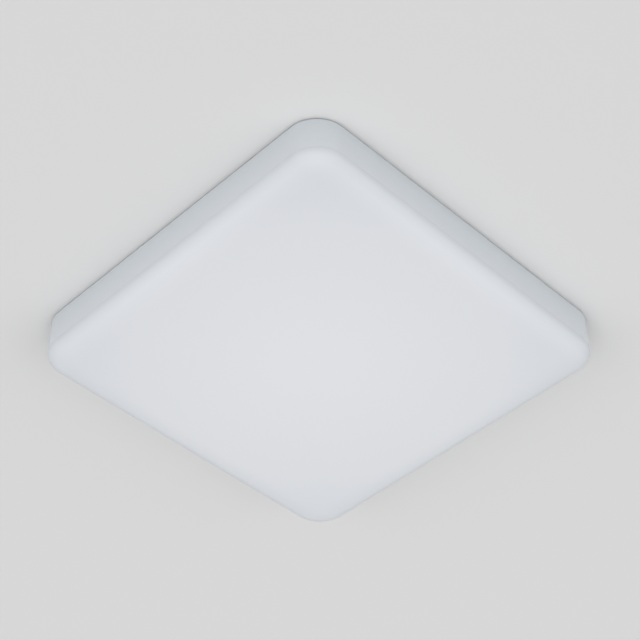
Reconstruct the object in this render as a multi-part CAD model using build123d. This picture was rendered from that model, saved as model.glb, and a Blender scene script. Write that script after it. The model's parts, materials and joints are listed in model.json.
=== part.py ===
"""Square frameless ceiling downlight with an opal diffuser and two sliding spring clips.

The origin is the centre of the ceiling plane, which the housing rim touches. +Z points up
into the ceiling void, and the lit face looks down. All sizes are in millimetres.
"""

import os
from math import ceil, cos, pi, radians, sin, sqrt

from build123d import *

# Diffuser, the part that shows
lamp_width = 220.0
lamp_depth = 28.0
corner_radius = 18.2
edge_reach = 16.0
edge_drop = 6.0
diffuser_wall = 2.0
shadow_gap = 1.2

# Back pan, pressed against the ceiling by the clips
fit_gap = 0.3
skirt_wall = 2.0
skirt_depth = 10.0
skin_drop = 1.0
skin_thickness = 2.0
rib_thickness = 1.2
rib_spacing = 35.0
boss_radius = 4.0
pan_vent_count = 6
pan_vent_pitch = 5.0
pan_vent_width = 2.4
pan_vent_margin = 4.5

# Snap lugs of the diffuser and their windows in the skirt
lug_length = 14.0
lug_height = 1.7
lug_reach = 1.2
lug_spacing = 120.0
lug_drop = 6.6
window_clearance = 0.5

# Channels and toothed racks in which the clips slide
channel_inner = 18.0
channel_end_gap = 3.7
lip_start = 39.0
slot_width = 11.7
foot_width = 17.4
slide_gap = 0.15
lip_thickness = 2.0
foot_thickness = 1.65
tooth_pitch = 3.0
tooth_height = 0.8
tooth_width = 6.0
tooth_gap = 0.6
channel_wall = 1.5

# Light source
sheet_gap = 5.7
spreader_margin = 4.0
board_margin = 4.0
spreader_thickness = 0.8
spreader_drop = 8.0
board_thickness = 1.2
board_corner = 6.0
chip_pitch = 24.0
chip_edge = 5.0
chip_length = 3.5
chip_width = 2.8
chip_height = 0.8
sheet_thickness = 0.4
sheet_clearance = 0.8
wire_hole_radius = 4.0

# Screws
screw_radius = 1.5
screw_clearance = 0.05
screw_head_radius = 2.75
screw_head_height = 2.0
small_screw_radius = 1.0
small_head_radius = 2.0
small_head_height = 1.5
driver_slot_width = 0.8
driver_slot_depth = 0.8
board_screw_reach = 6.0

# Driver case
driver_chamber = 49.2
terminal_chamber = 23.4
case_width = 66.0
case_height = 25.0
case_wall = 1.8
case_corner = 3.0
partition_wall = 1.8
partition_notch_width = 12.0
partition_notch_height = 9.0
lug_tab_length = 10.0
lug_tab_width = 10.0
lug_tab_thickness = 3.0
lug_tab_x = 20.0
lid_thickness = 2.0
lid_post_radius = 3.0
lid_post_depth = 12.0
lid_post_inset = 6.0
vent_length = 12.0
vent_width = 1.6
vent_pitch = 4.0
vent_count = 6
rib_proud = 0.6
case_rib_pitch = 6.0

# Cable inlet and clamp
inlet_radius = 4.25
inlet_height = 9.0
clamp_post_radius = 3.0
clamp_post_x = 8.5
clamp_post_inset = 5.0
clamp_bar_width = 6.0
clamp_bar_thickness = 3.0
saddle_width = 14.0
saddle_length = 3.0

# Terminal block and cover
block_width = 18.0
block_length = 12.0
block_height = 16.0
block_gap = 3.2
wire_entry_radius = 1.6
terminal_screw_radius = 1.7
terminal_screw_sink = 1.0
hinge_radius = 2.0
hinge_pin_radius = 0.9
hinge_rise = 0.2
hinge_gap = 0.25
knuckle_length = 7.0
knuckle_x = 20.0
pin_running_gap = 0.06
cover_lip_drop = 4.0
cover_lip_thickness = 1.4
cover_clearance = 0.4
grip_width = 16.0
grip_reach = 2.5
grip_rib_count = 4
grip_rib_pitch = 1.6
grip_rib_width = 0.8
grip_rib_height = 0.5

# Driver board and what it carries
circuit_margin = 6.0
circuit_width = 48.0
circuit_thickness = 1.6
circuit_lift = 5.2
wire_hole_inset = 3.7
wire_room = 4.5
standoff_radius = 2.5
standoff_inset = 3.5
core_width = 17.0
core_length = 14.0
core_height = 12.0
core_leg = 4.0
core_x = 10.0
core_offset = -1.0
winding_radius = 6.2
winding_height = 7.0
big_can_radius = 5.0
big_can_height = 13.0
small_can_radius = 4.0
small_can_height = 11.0
can_bevel = 0.6
can_foot = 1.8
can_x = -13.5
big_can_offset = 3.0
small_can_offset = 13.0
film_length = 13.0
film_width = 5.0
film_height = 10.0
film_x = -15.5
film_offset = -6.5
film_bevel = 0.8
choke_radius = 4.5
choke_height = 10.0
choke_core_radius = 3.0
choke_flange = 1.5
choke_x = -4.0
choke_offset = -2.0
fuse_radius = 2.2
fuse_length = 9.0
fuse_x = -12.0
fuse_inset = 1.0
chip_body_width = 4.0
chip_inset = 5.0
bridge_x = 14.5
bridge_length = 5.0
bridge_height = 2.5
controller_x = 9.5
controller_length = 5.0
controller_height = 1.5
connector_length = 7.0
connector_width = 9.0
connector_height = 7.0
wire_radius = 0.8
wire_pitch = 5.0
wire_tuck = 3.0
wire_sides = 8
bend_share = 0.45

# Spring clips
carriage_length = 20.0
carriage_stop_gap = 2.0
carriage_plate = 2.2
carriage_width = 20.0
cheek_thickness = 2.5
pivot_height = 13.0
cheek_radius = 4.0
pin_radius = 1.5
pin_head_radius = 2.4
pin_head_height = 0.8
rest_angle = 14.0
arm_length = 36.0
arm_width = 14.4
arm_thickness = 1.6
arm_lift = 0.7
hub_radius = 3.4
knuckle_width = 2.3
fork_length = 8.0
arm_slot_place = 20.5
arm_slot_length = 8.0
arm_slot_width = 4.0
rim_bead = 0.9
stop_thickness = 2.0
stop_gap = 0.1
pad_length = 9.0
pad_wall = 1.6
pad_width = 16.0
thumb_width = 13.0
thumb_height = 5.0
thumb_thickness = 1.6
thumb_corner = 2.0

# Torsion springs
spring_wire = 0.6
spring_radius = 3.2
spring_turns = 4
spring_length = 7.2
spring_leg_gap = 0.3
spring_leg_reach = 15.0

half = lamp_width / 2
skirt_half = half - diffuser_wall - fit_gap
skin_top = -skin_drop
skin_bottom = skin_top - skin_thickness
lip_bottom = skin_top - lip_thickness
foot_top = lip_bottom - slide_gap
foot_bottom = foot_top - foot_thickness
tooth_top = foot_bottom - tooth_gap
channel_floor = tooth_top - tooth_height
channel_half = foot_width / 2 + slide_gap
spreader_top = -spreader_drop
board_top = spreader_top - spreader_thickness
board_bottom = board_top - board_thickness
sheet_bottom = board_bottom - sheet_thickness
case_floor_top = skin_top + case_wall
case_top = skin_top + case_height
lid_top = case_top + lid_thickness
case_length = driver_chamber + terminal_chamber + partition_wall + 2 * case_wall
case_inner_x = case_width / 2 - case_wall
case_inner_y = case_length / 2 - case_wall
partition_y = case_inner_y - driver_chamber
block_y = partition_y - partition_wall - block_gap - block_length / 2
circuit_bottom = case_floor_top + circuit_lift
circuit_top = circuit_bottom + circuit_thickness
wire_hole_y = case_inner_y - wire_hole_inset
circuit_y0 = partition_y + circuit_margin
circuit_y1 = wire_hole_y - wire_room
circuit_length = circuit_y1 - circuit_y0
circuit_y = (circuit_y0 + circuit_y1) / 2
sheet_width = 2 * (skirt_half - skirt_wall - sheet_gap)
spreader_width = sheet_width - 2 * spreader_margin
board_width = spreader_width - 2 * board_margin
chip_rows = 2 * int((board_width / 2 - chip_edge) / chip_pitch + 0.5)
board_screw_outer = (chip_rows / 2 - 1) * chip_pitch
channel_outer = skirt_half - skirt_wall - channel_end_gap
clip_inner_x = case_width / 2 + carriage_stop_gap + carriage_length / 2
clip_outer_x = channel_outer - carriage_length / 2
clip_rest_x = (clip_inner_x + clip_outer_x) / 2


def slab(x0, x1, y0, y1, z0, z1):
    """Block between three pairs of faces."""
    middle = Pos((x0 + x1) / 2, (y0 + y1) / 2, (z0 + z1) / 2)
    return middle * Box(abs(x1 - x0), abs(y1 - y0), abs(z1 - z0))


def post(x, y, z0, z1, radius):
    """Upright cylinder."""
    return Pos(x, y, (z0 + z1) / 2) * Cylinder(radius, abs(z1 - z0))


def rod_x(x0, x1, y, z, radius):
    """Cylinder that lies along X."""
    return Pos((x0 + x1) / 2, y, z) * Rot(0, 90, 0) * Cylinder(radius, abs(x1 - x0))


def rod_y(x, y0, y1, z, radius):
    """Cylinder that lies along Y."""
    return Pos(x, (y0 + y1) / 2, z) * Rot(90, 0, 0) * Cylinder(radius, abs(y1 - y0))


def rounded_plate(width, length, z0, z1, corner):
    """Plate with rounded plan corners."""
    return Pos(0, 0, z0) * extrude(RectangleRounded(width, length, corner), z1 - z0)


def side_profile(x_points, y0, y1):
    """Solid along Y from an outline in X and Z."""
    outline = make_face(Polyline(*[(x, 0, z) for x, z in x_points], close=True))
    return Pos(0, y1, 0) * extrude(outline, y1 - y0, dir=(0, -1, 0))


def joined(first, *others):
    """First solid with the others fused on."""
    return first + list(others)


def separate(solids):
    """Several solids kept apart in one piece group."""
    return Compound(children=list(solids))


def slotted_screw(x, y, seat, tip, radius, head_radius, head_height):
    """Screw whose head stands on the seat; the tip lies on the other side of it."""
    up = 1.0 if seat > tip else -1.0
    head_end = seat + up * head_height
    shank = post(x, y, seat, tip, radius)
    head = post(x, y, seat, head_end, head_radius)
    slot_floor = head_end - up * driver_slot_depth
    slot = slab(
        x - head_radius, x + head_radius,
        y - driver_slot_width / 2, y + driver_slot_width / 2,
        slot_floor, head_end + up * driver_slot_depth,
    )
    return shank + head - slot


def four(x, y):
    """The four mirrored places of a point."""
    return [(x, y), (-x, y), (-x, -y), (x, -y)]


# Diffuser

def pillow(width, top, bottom, corner, reach, drop):
    """Rounded square block whose lower edge is a quarter ellipse."""
    axis = width / 2 - corner
    with BuildSketch(Plane.XZ) as profile:
        with BuildLine():
            Polyline((0, bottom), (0, top), (corner, top), (corner, bottom + drop))
            EllipticalCenterArc(
                (corner - reach, bottom + drop), reach, drop, 0, arc_size=-90,
            )
            Line((corner - reach, bottom), (0, bottom))
        make_face()
    turn = revolve(profile.sketch, Axis.Z, 90)
    side = extrude(profile.sketch, amount=2 * axis, dir=(0, 1, 0))
    block = slab(-axis, axis, -axis, axis, bottom, top)
    for quarter in range(4):
        block += Rot(0, 0, 90 * quarter) * (Pos(axis, -axis, 0) * side)
        block += Rot(0, 0, 90 * quarter) * (Pos(axis, axis, 0) * turn)
    return block


def snap_lug(y):
    """Wedge inside the wall at +X that hooks over the lower edge of a skirt window."""
    root = half - diffuser_wall
    low = -lug_drop - lug_height
    outline = [
        (root, low),
        (root - lug_reach, low),
        (root - lug_reach, low + lug_height / 3),
        (root, -lug_drop),
    ]
    return side_profile(outline, y - lug_length / 2, y + lug_length / 2)


lug_places = [(quarter, side * lug_spacing / 2) for quarter in range(4) for side in (-1, 1)]
diffuser = pillow(lamp_width, -shadow_gap, -lamp_depth, corner_radius, edge_reach, edge_drop)
diffuser -= pillow(
    lamp_width - 2 * diffuser_wall, 0, diffuser_wall - lamp_depth,
    corner_radius - diffuser_wall, edge_reach - diffuser_wall, edge_drop - diffuser_wall,
)
for quarter, y in lug_places:
    diffuser += Rot(0, 0, 90 * quarter) * snap_lug(y)

# Back pan

skirt_corner = corner_radius - diffuser_wall - fit_gap
board_screw_places = (
    four(board_screw_outer, board_screw_outer)
    + [(0, board_screw_outer), (0, -board_screw_outer)]
    + four(2 * chip_pitch, chip_pitch)
)
tab_y = case_length / 2 + lug_tab_length / 2
case_screw_places = four(lug_tab_x, tab_y)


def clip_channel():
    """Walls and floor of the channel at +X, below the skin."""
    wall = channel_half + channel_wall
    floor_bottom = channel_floor - channel_wall
    return slab(
        channel_inner - channel_wall, channel_outer + channel_wall, -wall, wall,
        floor_bottom, skin_bottom,
    )


def channel_space():
    """What is cut for the clip foot: the pocket, the slot and the entry at the inner end."""
    foot_space = slab(
        channel_inner, channel_outer, -channel_half, channel_half, channel_floor, lip_bottom,
    )
    slot = slab(
        channel_inner, channel_outer, -slot_width / 2, slot_width / 2, lip_bottom, 0,
    )
    entry = slab(channel_inner, lip_start, -channel_half, channel_half, lip_bottom, 0)
    return foot_space + slot + entry


def rack_tooth(x):
    """One tooth on the channel floor."""
    outline = [
        (x - tooth_pitch / 2, channel_floor),
        (x + tooth_pitch / 2, channel_floor),
        (x, tooth_top),
    ]
    return side_profile(outline, -tooth_width / 2, tooth_width / 2)


tooth_count = int((channel_outer - lip_start) / tooth_pitch)
skirt = rounded_plate(2 * skirt_half, 2 * skirt_half, -skirt_depth, 0, skirt_corner)
skirt -= rounded_plate(
    2 * (skirt_half - skirt_wall), 2 * (skirt_half - skirt_wall), -skirt_depth - 1, 1,
    skirt_corner - skirt_wall,
)
skin = rounded_plate(
    2 * skirt_half - skirt_wall, 2 * skirt_half - skirt_wall, skin_bottom, skin_top,
    skirt_corner - skirt_wall / 2,
)
inside = skirt_half - skirt_wall / 2
ribs = []
for place in (-2 * rib_spacing, -rib_spacing, rib_spacing, 2 * rib_spacing):
    near = place - rib_thickness / 2
    far = place + rib_thickness / 2
    ribs.append(slab(near, far, -inside, inside, spreader_top, skin_bottom))
    ribs.append(slab(-inside, inside, near, far, spreader_top, skin_bottom))
bosses = [post(x, y, spreader_top, skin_bottom, boss_radius) for x, y in board_screw_places]
bosses += [post(x, y, spreader_top, skin_bottom, boss_radius) for x, y in case_screw_places]
back_pan = skirt + skin + ribs + bosses
for turn in (0, 180):
    back_pan += Rot(0, 0, turn) * clip_channel()
for turn in (0, 180):
    back_pan -= Rot(0, 0, turn) * channel_space()
for turn in (0, 180):
    teeth = [rack_tooth(channel_outer - tooth_pitch * (n + 0.5)) for n in range(tooth_count)]
    back_pan += [Rot(0, 0, turn) * tooth for tooth in teeth]
for x, y in board_screw_places:
    back_pan -= post(x, y, spreader_top, spreader_top + board_screw_reach, screw_radius + screw_clearance)
for x, y in case_screw_places:
    back_pan -= post(x, y, spreader_top, skin_top, screw_radius + screw_clearance)
back_pan -= post(0, wire_hole_y, spreader_top, skin_top, wire_hole_radius)
vent_cell = 1.5 * rib_spacing
for x, y in four(vent_cell, vent_cell):
    for n in range(pan_vent_count):
        slot_y = y + (n - (pan_vent_count - 1) / 2) * pan_vent_pitch
        back_pan -= Pos(x, slot_y, skin_bottom) * extrude(
            SlotOverall(rib_spacing - 2 * pan_vent_margin, pan_vent_width), skin_thickness,
        )
for quarter, y in lug_places:
    window = slab(
        skirt_half - skirt_wall, skirt_half,
        y - lug_length / 2 - window_clearance, y + lug_length / 2 + window_clearance,
        -lug_drop - lug_height, -lug_drop + window_clearance,
    )
    back_pan -= Rot(0, 0, 90 * quarter) * window

# Light source

head_hole = screw_head_radius + sheet_clearance
connector_y1 = wire_hole_y - wire_hole_radius - connector_length / 2
chip_places = [
    ((i - (chip_rows - 1) / 2) * chip_pitch, (j - (chip_rows - 1) / 2) * chip_pitch)
    for i in range(chip_rows) for j in range(chip_rows)
]
heat_spreader = rounded_plate(spreader_width, spreader_width, board_top, spreader_top, board_corner)
led_board = rounded_plate(board_width, board_width, board_bottom, board_top, board_corner)
hole = screw_radius + 4 * screw_clearance
for x, y in board_screw_places:
    heat_spreader -= post(x, y, board_top, spreader_top, hole)
    led_board -= post(x, y, board_bottom, board_top, hole)
heat_spreader -= post(0, wire_hole_y, board_top, spreader_top, wire_hole_radius)
led_board -= post(0, wire_hole_y, board_bottom, board_top, wire_hole_radius)
led_chips = separate(
    slab(
        x - chip_length / 2, x + chip_length / 2, y - chip_width / 2, y + chip_width / 2,
        board_bottom - chip_height, board_bottom,
    )
    for x, y in chip_places
)
sheet_holes = [
    Pos(x, y) * Rectangle(chip_length + 2 * sheet_clearance, chip_width + 2 * sheet_clearance)
    for x, y in chip_places
]
sheet_holes += [Pos(x, y) * Circle(head_hole) for x, y in board_screw_places]
passage_near = connector_y1 - connector_length - sheet_clearance
passage_far = wire_hole_y + wire_hole_radius + sheet_clearance
sheet_holes.append(
    Pos(0, (passage_near + passage_far) / 2)
    * Rectangle(connector_width + 2 * sheet_clearance, passage_far - passage_near)
)
sheet = RectangleRounded(sheet_width, sheet_width, board_corner) - sheet_holes
reflector_sheet = Pos(0, 0, sheet_bottom) * extrude(sheet, sheet_thickness)
board_screws = separate(
    slotted_screw(
        x, y, board_bottom, spreader_top + board_screw_reach - screw_clearance, screw_radius,
        screw_head_radius, screw_head_height,
    )
    for x, y in board_screw_places
)


def wire_socket(y0, y1, z0, z1):
    """Two-pole connector housing with a bore for each wire."""
    body = slab(-connector_width / 2, connector_width / 2, y0, y1, z0, z1)
    for x in (-wire_pitch / 2, wire_pitch / 2):
        body -= rod_y(x, y0, y1, (z0 + z1) / 2, wire_radius + screw_clearance)
    return body


# Driver case

driver_case = rounded_plate(case_width, case_length, skin_top, case_top, case_corner)
driver_case -= rounded_plate(
    case_width - 2 * case_wall, case_length - 2 * case_wall, case_floor_top, case_top + 1,
    case_corner - case_wall,
)
partition = slab(
    -case_inner_x, case_inner_x, partition_y - partition_wall, partition_y, case_floor_top, case_top,
)
notch_bottom = circuit_top
partition -= slab(
    -partition_notch_width / 2, partition_notch_width / 2, partition_y - partition_wall, partition_y,
    notch_bottom, notch_bottom + partition_notch_height,
)
lid_post_x = case_inner_x - lid_post_radius + fit_gap
lid_post_places = [
    (side * lid_post_x, y)
    for side in (-1, 1)
    for y in (case_inner_y - lid_post_radius + fit_gap, partition_y + lid_post_inset)
]
lid_posts = [post(x, y, case_top - lid_post_depth, case_top, lid_post_radius) for x, y in lid_post_places]
tabs = [
    slab(
        x - lug_tab_width / 2, x + lug_tab_width / 2,
        side * case_length / 2, side * (case_length / 2 + lug_tab_length),
        skin_top, skin_top + lug_tab_thickness,
    )
    for x in (-lug_tab_x, lug_tab_x) for side in (-1, 1)
]
standoff_x = circuit_width / 2 - standoff_inset
standoff_y = circuit_length / 2 - standoff_inset
standoff_places = [(x, circuit_y + y) for x, y in four(standoff_x, standoff_y)]
standoffs = [post(x, y, case_floor_top, circuit_bottom, standoff_radius) for x, y in standoff_places]
clamp_y = -case_inner_y + clamp_post_inset
clamp_post_top = inlet_height + inlet_radius - 1.0
clamp_posts = [
    post(x, clamp_y, case_floor_top, clamp_post_top, clamp_post_radius)
    for x in (-clamp_post_x, clamp_post_x)
]
saddle_top = inlet_height - inlet_radius
saddle = slab(
    -saddle_width / 2, saddle_width / 2, clamp_y - saddle_length / 2, clamp_y + saddle_length / 2,
    case_floor_top, saddle_top,
)
driver_case = driver_case + [partition] + lid_posts + tabs + standoffs + clamp_posts + [saddle]
side_rib_count = int((case_length / 2 - partition_y - 2 * case_corner) / case_rib_pitch)
for side in (-1, 1):
    for n in range(side_rib_count):
        y = partition_y + case_corner + case_rib_pitch * (n + 0.5)
        driver_case += slab(
            side * (case_width / 2 - case_wall / 2), side * (case_width / 2 + rib_proud),
            y - rib_thickness / 2, y + rib_thickness / 2, skin_top, case_top,
        )
driver_case -= rod_y(0, -case_length / 2, -case_inner_y, inlet_height, inlet_radius)
for x, y in case_screw_places:
    driver_case -= post(x, y, skin_top, skin_top + lug_tab_thickness, screw_radius + screw_clearance)
for x, y in lid_post_places:
    driver_case -= post(
        x, y, case_top - lid_post_depth, case_top, small_screw_radius + screw_clearance,
    )
for x, y in standoff_places:
    driver_case -= post(x, y, case_floor_top, circuit_bottom, small_screw_radius + screw_clearance)
for x in (-clamp_post_x, clamp_post_x):
    driver_case -= post(
        x, clamp_y, case_floor_top, clamp_post_top, small_screw_radius + screw_clearance,
    )
driver_case -= post(0, wire_hole_y, skin_top, case_floor_top, wire_hole_radius)
case_screws = separate(
    slotted_screw(
        x, y, skin_top + lug_tab_thickness, spreader_top + 1.0, screw_radius,
        screw_head_radius, screw_head_height,
    )
    for x, y in case_screw_places
)

# Lid, hinge and terminal cover

hinge_y = partition_y - partition_wall / 2
hinge_z = case_top + hinge_radius + hinge_rise
hinge_free = hinge_radius + 0.3
lid_y0 = hinge_y + hinge_free
driver_lid = slab(
    -case_width / 2, case_width / 2, lid_y0, case_length / 2, case_top, lid_top,
)
driver_lid = fillet(
    driver_lid.edges().filter_by(Axis.Z).sort_by(Axis.Y)[-2:], case_corner,
)
driver_lid = driver_lid + [
    slab(
        side * knuckle_x - knuckle_length / 2, side * knuckle_x + knuckle_length / 2,
        hinge_y, lid_y0, case_top + hinge_rise, lid_top,
    )
    for side in (-1, 1)
] + [
    rod_x(
        side * knuckle_x - knuckle_length / 2, side * knuckle_x + knuckle_length / 2,
        hinge_y, hinge_z, hinge_radius,
    )
    for side in (-1, 1)
]
vent_middle = (lid_y0 + case_length / 2) / 2
for side in (-1, 1):
    for n in range(vent_count):
        y = vent_middle + (n - (vent_count - 1) / 2) * vent_pitch
        driver_lid -= Pos(side * case_width / 5, y, case_top) * extrude(
            SlotOverall(vent_length, vent_width), lid_thickness,
        )
for x, y in lid_post_places:
    driver_lid -= post(x, y, case_top, lid_top, small_screw_radius + 3 * screw_clearance)
for side in (-1, 1):
    driver_lid -= rod_x(
        side * knuckle_x - knuckle_length / 2, side * knuckle_x + knuckle_length / 2,
        hinge_y, hinge_z, hinge_pin_radius + screw_clearance,
    )
lid_screws = separate(
    slotted_screw(
        x, y, lid_top, case_top - lid_post_depth + 2.0, small_screw_radius,
        small_head_radius, small_head_height,
    )
    for x, y in lid_post_places
)
cover_knuckle_x0 = knuckle_x + knuckle_length / 2 + hinge_gap
hinge_pin_end = cover_knuckle_x0 + knuckle_length + 0.5
cover_hinge_pin = rod_x(-hinge_pin_end, hinge_pin_end, hinge_y, hinge_z, hinge_pin_radius)
cover_y1 = hinge_y - hinge_free
cover_y0 = -case_length / 2
lip_y1 = cover_y0 - cover_clearance
lip_y0 = lip_y1 - cover_lip_thickness
cover_seat = case_top + 0.1
lip_x = case_width / 2 - 2 * case_corner
grip_x = grip_width / 2
grip_ribs = [
    slab(
        -grip_x, grip_x, cover_y0 + grip_rib_pitch * (n + 1) - grip_rib_width / 2,
        cover_y0 + grip_rib_pitch * (n + 1) + grip_rib_width / 2, lid_top, lid_top + grip_rib_height,
    )
    for n in range(grip_rib_count)
]
terminal_cover = joined(
    slab(-case_width / 2, case_width / 2, lip_y0, cover_y1, cover_seat, lid_top),
    slab(-lip_x, lip_x, lip_y0, lip_y1, case_top - cover_lip_drop, cover_seat),
    slab(-grip_x, grip_x, lip_y0 - grip_reach, lip_y0, lid_top - cover_lip_thickness, lid_top),
    *grip_ribs,
)
for side in (-1, 1):
    x0 = side * cover_knuckle_x0
    x1 = side * (cover_knuckle_x0 + knuckle_length)
    terminal_cover += slab(x0, x1, cover_y1, hinge_y, case_top + hinge_rise, lid_top)
    terminal_cover += rod_x(x0, x1, hinge_y, hinge_z, hinge_radius)
    terminal_cover -= rod_x(x0, x1, hinge_y, hinge_z, hinge_pin_radius + pin_running_gap)

# Terminal block and cable clamp

terminal_block = slab(
    -block_width / 2, block_width / 2, block_y - block_length / 2, block_y + block_length / 2,
    case_floor_top, case_floor_top + block_height,
)
block_top = case_floor_top + block_height
entry_height = circuit_top + connector_height / 2
terminal_screw_list = []
for x in (-wire_pitch / 2, wire_pitch / 2):
    terminal_block -= rod_y(
        x, block_y - block_length / 2, block_y + block_length / 2, entry_height, wire_entry_radius,
    )
    for y in (block_y - block_length / 4, block_y + block_length / 4):
        terminal_block -= post(x, y, entry_height, block_top, terminal_screw_radius + screw_clearance)
        screw_top = block_top - terminal_screw_sink
        screw = post(x, y, entry_height + wire_radius, screw_top, terminal_screw_radius)
        screw -= slab(
            x - terminal_screw_radius, x + terminal_screw_radius,
            y - driver_slot_width / 2, y + driver_slot_width / 2,
            screw_top - driver_slot_depth, block_top,
        )
        terminal_screw_list.append(screw)
terminal_screws = separate(terminal_screw_list)
groove = slab(
    -0.6, 0.6, block_y - block_length / 2, block_y + block_length / 2, block_top - 2.0, block_top,
)
terminal_block -= groove

clamp_end = clamp_post_x + clamp_post_radius
cable_clamp = slab(
    -clamp_end, clamp_end, clamp_y - clamp_bar_width / 2, clamp_y + clamp_bar_width / 2,
    clamp_post_top, clamp_post_top + clamp_bar_thickness,
)
cable_clamp = fillet(cable_clamp.edges().filter_by(Axis.Z), clamp_bar_width / 2 - 0.2)
for x in (-clamp_post_x, clamp_post_x):
    cable_clamp -= post(
        x, clamp_y, clamp_post_top, clamp_post_top + clamp_bar_thickness,
        small_screw_radius + 3 * screw_clearance,
    )
clamp_screws = separate(
    slotted_screw(
        x, clamp_y, clamp_post_top + clamp_bar_thickness, case_floor_top + 1.5,
        small_screw_radius, small_head_radius, small_head_height,
    )
    for x in (-clamp_post_x, clamp_post_x)
)

# Driver board

driver_board = slab(
    -circuit_width / 2, circuit_width / 2, circuit_y0, circuit_y1, circuit_bottom, circuit_top,
)
for x, y in standoff_places:
    driver_board -= post(x, y, circuit_bottom, circuit_top, small_screw_radius + 3 * screw_clearance)
driver_board_screws = separate(
    slotted_screw(
        x, y, circuit_top, case_floor_top + 1.0, small_screw_radius,
        small_head_radius, small_head_height,
    )
    for x, y in standoff_places
)
core_y = circuit_y + core_offset
core_outer = slab(
    core_x - core_width / 2, core_x + core_width / 2, core_y - core_length / 2, core_y + core_length / 2,
    circuit_top, circuit_top + core_height,
)
window_top = circuit_top + core_height - (core_height - winding_height) / 2
window_low = window_top - winding_height
core_gap = slab(
    core_x - core_width / 2 + core_leg / 2, core_x + core_width / 2 - core_leg / 2,
    core_y - core_length / 2, core_y + core_length / 2, window_low, window_top,
)
core_middle = post(core_x, core_y, window_low, window_top, core_leg / 2)
transformer_core = core_outer - core_gap + core_middle
transformer_winding = post(core_x, core_y, window_low, window_top, winding_radius) - post(
    core_x, core_y, window_low, window_top, core_leg / 2,
)


def capacitor_can(x, y, radius, height):
    """Electrolytic can, turned with a waist near its foot and a bevelled top."""
    outline = [
        (0, 0), (radius, 0), (radius, can_foot), (radius - can_bevel, can_foot + can_bevel),
        (radius, can_foot + 2 * can_bevel), (radius, height - can_bevel),
        (radius - can_bevel, height), (0, height),
    ]
    profile = make_face(Polyline(*[(r, 0, z) for r, z in outline], close=True))
    return Pos(x, y, circuit_top) * revolve(profile, Axis.Z)


electrolytic_capacitors = separate([
    capacitor_can(can_x, circuit_y + big_can_offset, big_can_radius, big_can_height),
    capacitor_can(can_x, circuit_y + small_can_offset, small_can_radius, small_can_height),
])
film_y = circuit_y + film_offset
film_capacitor = slab(
    film_x - film_length / 2, film_x + film_length / 2, film_y - film_width / 2, film_y + film_width / 2,
    circuit_top, circuit_top + film_height,
)
film_capacitor = fillet(film_capacitor.edges().sort_by(Axis.Z)[4:], film_bevel)
choke_y = circuit_y + choke_offset
filter_choke = joined(
    post(choke_x, choke_y, circuit_top, circuit_top + choke_height, choke_core_radius),
    post(choke_x, choke_y, circuit_top, circuit_top + choke_flange, choke_radius),
    post(
        choke_x, choke_y, circuit_top + choke_height - choke_flange, circuit_top + choke_height,
        choke_radius,
    ),
)
fuse_y = circuit_y0 + fuse_radius + fuse_inset
fuse = rod_x(
    fuse_x - fuse_length / 2, fuse_x + fuse_length / 2, fuse_y, circuit_top + fuse_radius, fuse_radius,
)


def board_chip(x, y, length, height):
    """Moulded chip lying on the driver board."""
    return slab(
        x - length / 2, x + length / 2, y - chip_body_width / 2, y + chip_body_width / 2,
        circuit_top, circuit_top + height,
    )


board_chips = separate([
    board_chip(bridge_x, circuit_y0 + chip_inset, bridge_length, bridge_height),
    board_chip(controller_x, circuit_y1 - chip_inset, controller_length, controller_height),
])

# Connectors and inner wires

socket_z1 = circuit_top + connector_height
wire_height = circuit_top + connector_height / 2
input_connector = wire_socket(circuit_y0, circuit_y0 + connector_length, circuit_top, socket_z1)
output_connector = wire_socket(circuit_y1 - connector_length, circuit_y1, circuit_top, socket_z1)
under_top = board_bottom
under_low = board_bottom - connector_height / 1.4
under_wire = (under_top + under_low) / 2
board_connector = wire_socket(connector_y1 - connector_length, connector_y1, under_low, under_top)


def wire(points, radii):
    """Insulated wire along straight runs joined by arcs."""
    route = FilletPolyline(*points, radius=radii)
    start = Plane(origin=points[0], z_dir=Vector(*points[1]) - Vector(*points[0]))
    return sweep(start * RegularPolygon(wire_radius, wire_sides), path=route)


output_wire_list = []
input_wire_list = []
for x in (-wire_pitch / 2, wire_pitch / 2):
    start = (x, circuit_y1 - wire_tuck, wire_height)
    top_corner = (x, wire_hole_y, wire_height)
    low_corner = (x, wire_hole_y, under_wire)
    end = (x, connector_y1 - wire_tuck, under_wire)
    output_wire_list.append(wire(
        [start, top_corner, low_corner, end],
        [bend_share * (wire_hole_y - start[1]), bend_share * (wire_hole_y - end[1])],
    ))
    input_wire_list.append(rod_y(
        x, block_y, circuit_y0 + wire_tuck, wire_height, wire_radius,
    ))
output_wires = separate(output_wire_list)
input_wires = separate(input_wire_list)

# Spring clips, drawn at +X with the pivot above the clip's own origin


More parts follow.
